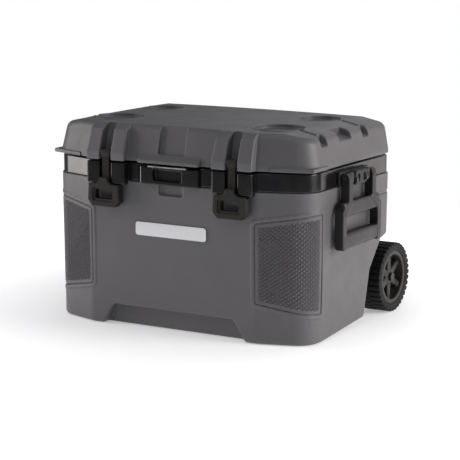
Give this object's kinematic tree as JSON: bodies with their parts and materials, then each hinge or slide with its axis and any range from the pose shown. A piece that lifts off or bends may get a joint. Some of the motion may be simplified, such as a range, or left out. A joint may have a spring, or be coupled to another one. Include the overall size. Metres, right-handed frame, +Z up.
{
  "type": "wheeled cooler",
  "caption": "Insulated hard cooler on wheels with a hinged lid, front rubber latches, swing side handles and a telescoping tow handle.",
  "frame": {"origin": "on the floor, below the middle of the outer box", "axes": "+X across the front to the right-hand side handle, +Y from the latches to the wheels, +Z up"},
  "size_m": [0.67, 0.5164, 0.43],
  "materials": {
    "shell_grey": "satin",
    "insulation": "matte",
    "liner": "satin",
    "band_black": "gloss",
    "stainless": "brushed",
    "badge_plate": "satin",
    "rubber_black": "matte",
    "black_plastic": "satin",
    "latch_rubber": "matte",
    "handle_plastic": "satin",
    "tyre": "matte",
    "rim_plastic": "satin",
    "bush_nylon": "satin",
    "tow_aluminium": "satin",
    "button_red": "satin"
  },
  "bodies": {
    "tub": {"tub_shell": "shell_grey", "tub_foam": "insulation", "tub_liner": "liner", "rim_band": "band_black", "lock_plate": "stainless", "badge": "badge_plate", "front_feet": "rubber_black", "drain_gasket": "rubber_black", "handle_bracket_left": "black_plastic", "handle_bracket_right": "black_plastic", "handle_pin_left": "stainless", "handle_pin_right": "stainless", "handle_screws": "stainless", "hinge_tub_leaf_left": "black_plastic", "hinge_tub_leaf_right": "black_plastic", "hinge_screws_tub": "stainless", "axle": "stainless", "axle_washers": "stainless", "axle_cap_left": "black_plastic", "axle_cap_right": "black_plastic", "tow_sleeve_left": "tow_aluminium", "tow_sleeve_right": "tow_aluminium", "tow_bracket_top": "black_plastic", "tow_bracket_bottom": "black_plastic", "tow_screws": "stainless"},
    "drain_plug": {"drain_plug": "black_plastic"},
    "lid": {"lid_shell": "shell_grey", "lid_foam": "insulation", "lid_liner": "liner", "lid_gasket": "rubber_black", "hinge_lid_leaf_left": "black_plastic", "hinge_lid_leaf_right": "black_plastic", "hinge_pin_left": "stainless", "hinge_pin_right": "stainless", "hinge_screws_lid": "stainless", "latch_pin_left": "stainless", "latch_pin_right": "stainless"},
    "latch_left": {"latch_left": "latch_rubber"},
    "latch_right": {"latch_right": "latch_rubber"},
    "side_handle_left": {"side_handle_left": "handle_plastic"},
    "side_handle_right": {"side_handle_right": "handle_plastic"},
    "wheel_left": {"tyre_left": "tyre", "wheel_rim_left": "rim_plastic", "wheel_bush_left": "bush_nylon"},
    "wheel_right": {"tyre_right": "tyre", "wheel_rim_right": "rim_plastic", "wheel_bush_right": "bush_nylon"},
    "tow_mid": {"tow_tube_mid_left": "tow_aluminium", "tow_tube_mid_right": "tow_aluminium"},
    "tow_inner": {"tow_tube_inner_left": "tow_aluminium", "tow_tube_inner_right": "tow_aluminium", "tow_grip": "black_plastic"},
    "tow_button": {"tow_button": "button_red"}
  },
  "joints": [
    {"name": "lid_hinge", "type": "hinge", "parent": "tub", "child": "lid", "pos_m": [0, 0.17225, 0.3495], "axis": [-1, 0, 0], "range_deg": [0, 95]},
    {"name": "latch_left_swing", "type": "hinge", "parent": "lid", "child": "latch_left", "pos_m": [-0.151, -0.24125, 0.368], "axis": [-1, 0, 0], "range_deg": [0, 100]},
    {"name": "side_handle_left_swing", "type": "hinge", "parent": "tub", "child": "side_handle_left", "pos_m": [-0.324, -0.02925, 0.329], "axis": [0, 1, 0], "range_deg": [0, 95]},
    {"name": "wheel_left_spin", "type": "hinge", "parent": "tub", "child": "wheel_left", "pos_m": [-0.28, 0.18275, 0.0755], "axis": [1, 0, 0], "continuous": true},
    {"name": "latch_right_swing", "type": "hinge", "parent": "lid", "child": "latch_right", "pos_m": [0.151, -0.24125, 0.368], "axis": [-1, 0, 0], "range_deg": [0, 100]},
    {"name": "side_handle_right_swing", "type": "hinge", "parent": "tub", "child": "side_handle_right", "pos_m": [0.324, -0.02925, 0.329], "axis": [0, -1, 0], "range_deg": [0, 95]},
    {"name": "wheel_right_spin", "type": "hinge", "parent": "tub", "child": "wheel_right", "pos_m": [0.28, 0.18275, 0.0755], "axis": [1, 0, 0], "continuous": true},
    {"name": "tow_mid_slide", "type": "slide", "parent": "tub", "child": "tow_mid", "axis": [0, 0, -1], "range_m": [-0.19, 0]},
    {"name": "tow_inner_slide", "type": "slide", "parent": "tow_mid", "child": "tow_inner", "axis": [0, 0, -1], "range_m": [-0.19, 0]},
    {"name": "tow_button_press", "type": "slide", "parent": "tow_inner", "child": "tow_button", "axis": [0, 0, -1], "range_m": [0, 0.003], "stiffness_N_per_m": 300, "springref_m": -0.002},
    {"name": "drain_plug_turn", "type": "hinge", "parent": "tub", "child": "drain_plug", "pos_m": [-0.31, -0.07725, 0.083], "axis": [-1, 0, 0], "range_deg": [0, 720]}
  ],
  "couplings": [
    {"joint": "tow_inner_slide", "follows": "tow_mid_slide", "ratio": 1}
  ]
}
